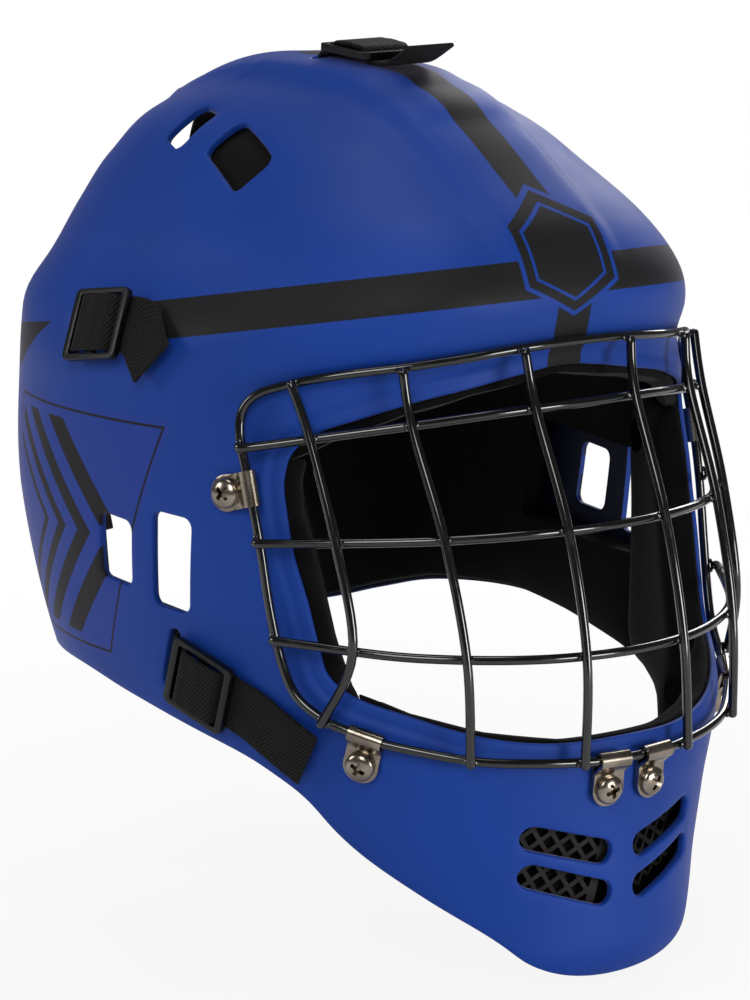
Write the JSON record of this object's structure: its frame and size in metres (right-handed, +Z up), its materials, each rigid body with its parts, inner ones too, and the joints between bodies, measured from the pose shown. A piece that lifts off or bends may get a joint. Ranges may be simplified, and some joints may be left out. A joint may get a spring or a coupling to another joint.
{
  "type": "floorball goalie helmet",
  "caption": "Moulded sport helmet shell with a welded wire face cage on screwed clips, foam lining, vents and a strapped back plate.",
  "frame": {"origin": "middle of the head opening at the neck, on the plane of symmetry, 90 mm over the chin", "axes": "+Z up as worn, the face looks along -Y, and +X is the wearer's left"},
  "size_m": [0.2356, 0.272, 0.3043],
  "materials": {
    "shell_abs": "satin injection-moulded shell with a fine even grain",
    "cage_wire": "gloss black powder-coated steel wire",
    "nickel_steel": "nickel-plated steel with a warm smoky tone",
    "foam": "fine-pored black foam with a short nap",
    "webbing": "ribbed black woven webbing",
    "acetal": "dull black moulded plastic",
    "mesh_plastic": "dull black moulded lattice",
    "plate_plastic": "dull black moulded plate"
  },
  "bodies": {
    "helmet": {"shell": "shell_abs", "chin_mesh_right": "mesh_plastic", "chin_mesh_left": "mesh_plastic", "cage_rim": "cage_wire", "cage_crossbars": "cage_wire", "cage_uprights": "cage_wire", "clip_temple_right": "nickel_steel", "clip_temple_left": "nickel_steel", "clip_jaw_right": "nickel_steel", "clip_jaw_left": "nickel_steel", "clip_chin_right": "nickel_steel", "clip_chin_left": "nickel_steel", "clip_screws": "nickel_steel", "clip_nuts": "nickel_steel", "forehead_pad": "foam", "crown_pad": "foam", "cheek_pad_right": "foam", "cheek_pad_left": "foam", "side_pad_right": "foam", "side_pad_left": "foam", "chin_pad": "foam", "strap_top": "webbing", "strap_upper_right": "webbing", "strap_upper_left": "webbing", "strap_lower_right": "webbing", "strap_lower_left": "webbing", "run_top": "webbing", "run_upper_right": "webbing", "run_upper_left": "webbing", "run_lower_right": "webbing", "run_lower_left": "webbing", "buckle_top": "acetal", "buckle_upper_right": "acetal", "buckle_upper_left": "acetal", "buckle_lower_right": "acetal", "buckle_lower_left": "acetal"},
    "rear_plate": {"back_plate": "plate_plastic", "back_pad": "foam"}
  },
  "joints": [
    {"name": "back_plate_swing", "type": "hinge", "parent": "helmet", "child": "rear_plate", "pos_m": [0, 0.084, 0.148], "axis": [1, 0, 0], "range_deg": [0, 18], "stiffness_Nm_per_rad": 0.4, "springref_deg": -6.88, "deforming": ["run_top", "run_upper_right", "run_upper_left", "run_lower_right", "run_lower_left"]}
  ]
}
